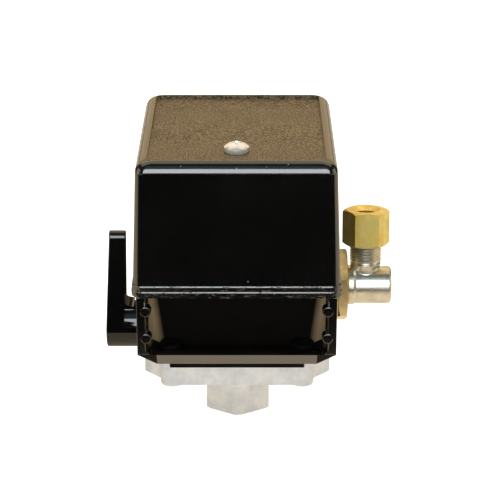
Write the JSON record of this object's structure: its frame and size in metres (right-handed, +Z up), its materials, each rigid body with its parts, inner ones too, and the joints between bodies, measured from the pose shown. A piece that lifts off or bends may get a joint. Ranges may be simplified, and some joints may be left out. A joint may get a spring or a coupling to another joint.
{
  "type": "pressure switch",
  "caption": "Air-compressor pressure switch: black lift-off cover over a trough base, off lever, unloader valve with a compression nut, and a die-cast casting with a hexagon pipe port",
  "frame": {"origin": "centre of the pressure port's lower face, on the pipe thread's axis", "axes": "+Z up along the pipe thread, -Y towards the open wiring end, -X towards the off lever, +X towards the unloader valve"},
  "size_m": [0.0985, 0.0776, 0.1058],
  "materials": {
    "cover_black": "moulded, glossy sides, stippled top panel",
    "base_black": "moulded, glossy",
    "lever_black": "moulded, glossy",
    "cast_alloy": "die cast, tumbled",
    "zinc_steel": "zinc plated",
    "yellow_steel": "yellow chromate over zinc",
    "plated_brass": "tin plated",
    "bare_brass": "turned, bare",
    "nitrile": "moulded sheet",
    "phenolic": "compression moulded",
    "carrier_resin": "compression moulded",
    "contact_copper": "stamped copper alloy with silver contacts",
    "spring_steel": "cold wound",
    "nylon": "moulded"
  },
  "bodies": {
    "switch_base": {"port_casting": "cast_alloy", "diaphragm": "nitrile", "flange_screws": "zinc_steel", "base": "base_black", "mechanism_frame": "zinc_steel", "frame_screws": "zinc_steel", "beam_pin": "zinc_steel", "pin_clip": "spring_steel", "range_stud": "zinc_steel", "range_spring": "spring_steel", "contact_block": "phenolic", "block_screws": "zinc_steel", "terminal_plates": "contact_copper", "terminal_screws": "zinc_steel", "cover_post": "zinc_steel", "unloader_bracket": "yellow_steel", "unloader_body": "plated_brass", "unloader_spring": "spring_steel", "unloader_plug": "plated_brass", "jam_nut": "zinc_steel", "ferrule": "bare_brass", "compression_nut": "bare_brass"},
    "cover_group": {"cover": "cover_black", "cover_screw": "zinc_steel"},
    "lever_group": {"lever": "lever_black", "lever_shaft": "zinc_steel", "lever_crank": "zinc_steel"},
    "piston_group": {"piston": "bare_brass"},
    "beam_group": {"operating_beam": "zinc_steel", "unloader_ramp": "nylon"},
    "carrier_group": {"contact_carrier": "carrier_resin", "contact_bridges": "contact_copper", "contact_springs": "spring_steel"},
    "plunger_group": {"unloader_plunger": "bare_brass", "unloader_seal": "nitrile"},
    "seat_group": {"spring_seat": "zinc_steel"},
    "nut_group": {"range_nut": "bare_brass"}
  },
  "joints": [
    {"name": "cover_lift", "type": "slide", "parent": "switch_base", "child": "cover_group", "axis": [0, 0, 1], "range_m": [0, 0.05]},
    {"name": "off_lever", "type": "hinge", "parent": "switch_base", "child": "lever_group", "pos_m": [-0.0337, -0.0184, 0.03915], "axis": [1, 0, 0], "range_deg": [0, 45]},
    {"name": "pressure_stroke", "type": "slide", "parent": "switch_base", "child": "piston_group", "axis": [0, 0, 1], "range_m": [0, 0.0015], "stiffness_N_per_m": 500, "springref_m": -0.004, "deforming": ["diaphragm"]},
    {"name": "beam_tilt", "type": "hinge", "parent": "switch_base", "child": "beam_group", "pos_m": [0, 0.027, 0.05], "axis": [-1, 0, 0], "range_deg": [0, 3.2]},
    {"name": "carrier_lift", "type": "slide", "parent": "beam_group", "child": "carrier_group", "axis": [0, 0, 1], "range_m": [0, 0.00307]},
    {"name": "plunger_stroke", "type": "slide", "parent": "switch_base", "child": "plunger_group", "axis": [1, 0, 0], "range_m": [0, 0.00142], "deforming": ["unloader_spring"]},
    {"name": "seat_travel", "type": "slide", "parent": "switch_base", "child": "seat_group", "axis": [0, 0, 1], "range_m": [-0.00238, 0.00238], "deforming": ["range_spring"]},
    {"name": "range_nut_turn", "type": "hinge", "parent": "seat_group", "child": "nut_group", "pos_m": [0, 0.013, 0.0885], "axis": [0, 0, 1], "range_deg": [-1080, 1080]}
  ],
  "couplings": [
    {"joint": "beam_tilt", "follows": "pressure_stroke", "rad_per_m": 36.94},
    {"joint": "plunger_stroke", "follows": "pressure_stroke", "ratio": 0.938},
    {"joint": "carrier_lift", "follows": "off_lever", "m_per_rad": 0.003898},
    {"joint": "range_nut_turn", "follows": "seat_travel", "rad_per_m": 7916}
  ]
}
